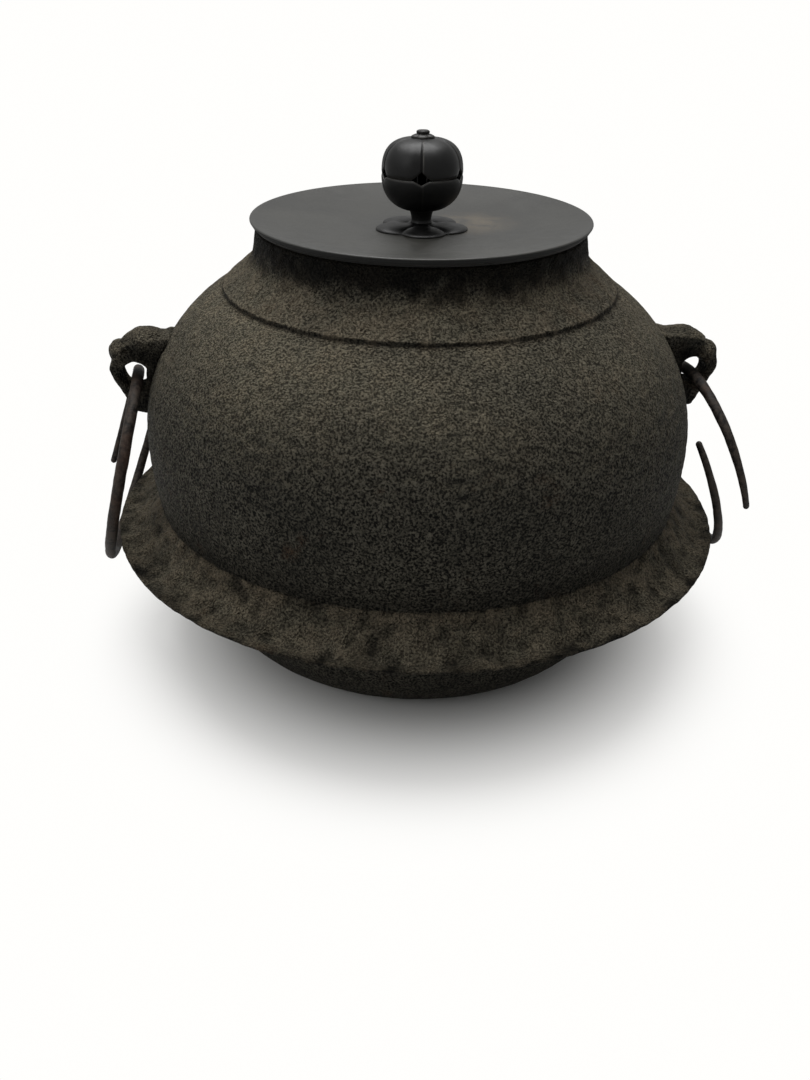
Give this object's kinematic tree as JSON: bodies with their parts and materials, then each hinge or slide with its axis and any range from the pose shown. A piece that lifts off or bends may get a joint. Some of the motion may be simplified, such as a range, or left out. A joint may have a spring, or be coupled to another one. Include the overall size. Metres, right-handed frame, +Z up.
{
  "type": "tea ceremony kettle",
  "caption": "Cast iron water kettle with a wide brazier skirt, ring lugs with open hanging rings, and a lift-off dished lid with a plum-bud knob.",
  "frame": {"origin": "centre of the foot on the table", "axes": "+Z up along the kettle's axis, +X through the right lug, -Y to the front"},
  "size_m": [0.2902, 0.27, 0.2224],
  "materials": {
    "kettle_iron": "pitted, dull",
    "plate_iron": "rough",
    "ring_iron": "forged, dull, rust spots",
    "lid_bronze": "dark patina, satin",
    "knob_bronze": "dark patina, satin"
  },
  "bodies": {
    "kettle": {"kettle_body": "kettle_iron", "lug_left": "kettle_iron", "lug_right": "kettle_iron", "sounding_plates": "plate_iron"},
    "lid": {"lid_plate": "lid_bronze", "knob_seat": "knob_bronze", "knob_stem": "knob_bronze", "knob_back_washer": "knob_bronze", "knob_lower_cup": "knob_bronze", "knob_upper_shell": "knob_bronze", "knob_finial": "knob_bronze"},
    "left_ring": {"ring_left": "ring_iron"},
    "right_ring": {"ring_right": "ring_iron"}
  },
  "joints": [
    {"name": "lid_lift", "type": "slide", "parent": "kettle", "child": "lid", "axis": [0, 0, 1], "range_m": [0, 0.12]},
    {"name": "left_ring_swing", "type": "hinge", "parent": "kettle", "child": "left_ring", "pos_m": [-0.12148, 0, 0.12155], "axis": [-0.0401, 0.9992, 0], "range_deg": [0, 195]},
    {"name": "right_ring_swing", "type": "hinge", "parent": "kettle", "child": "right_ring", "pos_m": [0.12148, 0, 0.12155], "axis": [0.0663, -0.9978, 0], "range_deg": [0, 195]}
  ]
}
